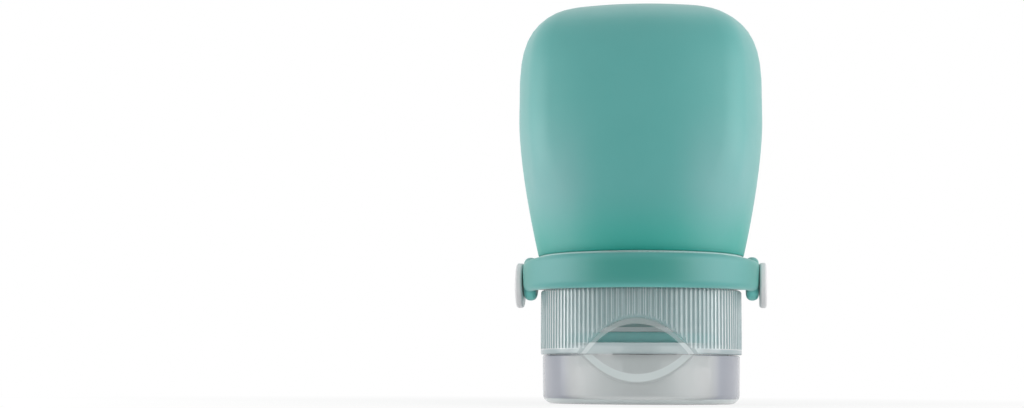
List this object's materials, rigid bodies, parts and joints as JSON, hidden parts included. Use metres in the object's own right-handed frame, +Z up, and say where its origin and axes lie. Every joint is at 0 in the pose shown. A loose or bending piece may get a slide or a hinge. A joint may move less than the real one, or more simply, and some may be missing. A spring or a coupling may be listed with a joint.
{
  "type": "travel silicone bottle",
  "caption": "Soft silicone squeeze bottle that stands on its ribbed screw cap, with a flip lid, a slit valve and a carry strap on studs.",
  "frame": {"origin": "centre of the lid's foot, on the surface that the bottle stands on", "axes": "+Z up through the bottle, -Y towards the thumb recess and the strap, +Y towards the lid's hinge"},
  "size_m": [0.0522, 0.0512, 0.082],
  "materials": {
    "teal_silicone": "matte translucent",
    "strap_silicone": "matte",
    "gasket_silicone": "matte",
    "valve_silicone": "matte translucent",
    "frosted_plastic": "frosted",
    "clear_plastic": "clear",
    "pale_plastic": "satin",
    "white_plastic": "satin"
  },
  "bodies": {
    "cap": {"screw_cap": "frosted_plastic", "no_drip_valve": "valve_silicone", "valve_retainer": "white_plastic", "lid_hinge": "clear_plastic"},
    "lid": {"flip_lid": "clear_plastic"},
    "seal": {"cap_gasket": "gasket_silicone"},
    "bottle": {"squeeze_body": "teal_silicone", "neck_collar": "pale_plastic", "neck_insert": "pale_plastic", "strap_button_left": "white_plastic", "strap_button_right": "white_plastic"},
    "strap": {"carry_strap": "strap_silicone"}
  },
  "joints": [
    {"name": "lid_flip", "type": "hinge", "parent": "cap", "child": "lid", "pos_m": [0, 0.0222, 0.01], "axis": [1, 0, 0], "range_deg": [0, 170], "deforming": ["lid_hinge"]},
    {"name": "neck_rise", "type": "slide", "parent": "cap", "child": "seal", "axis": [0, 0, 1], "range_m": [0, 0.00605]},
    {"name": "neck_turn", "type": "hinge", "parent": "seal", "child": "bottle", "pos_m": [0, 0, 0.0193], "axis": [0, 0, 1], "range_deg": [0, 540]},
    {"name": "strap_swing", "type": "hinge", "parent": "bottle", "child": "strap", "pos_m": [0, 0, 0.02595], "axis": [1, 0, 0], "range_deg": [-3.5, 8.5]}
  ],
  "couplings": [
    {"joint": "neck_rise", "follows": "neck_turn", "m_per_rad": 0.00063662}
  ]
}
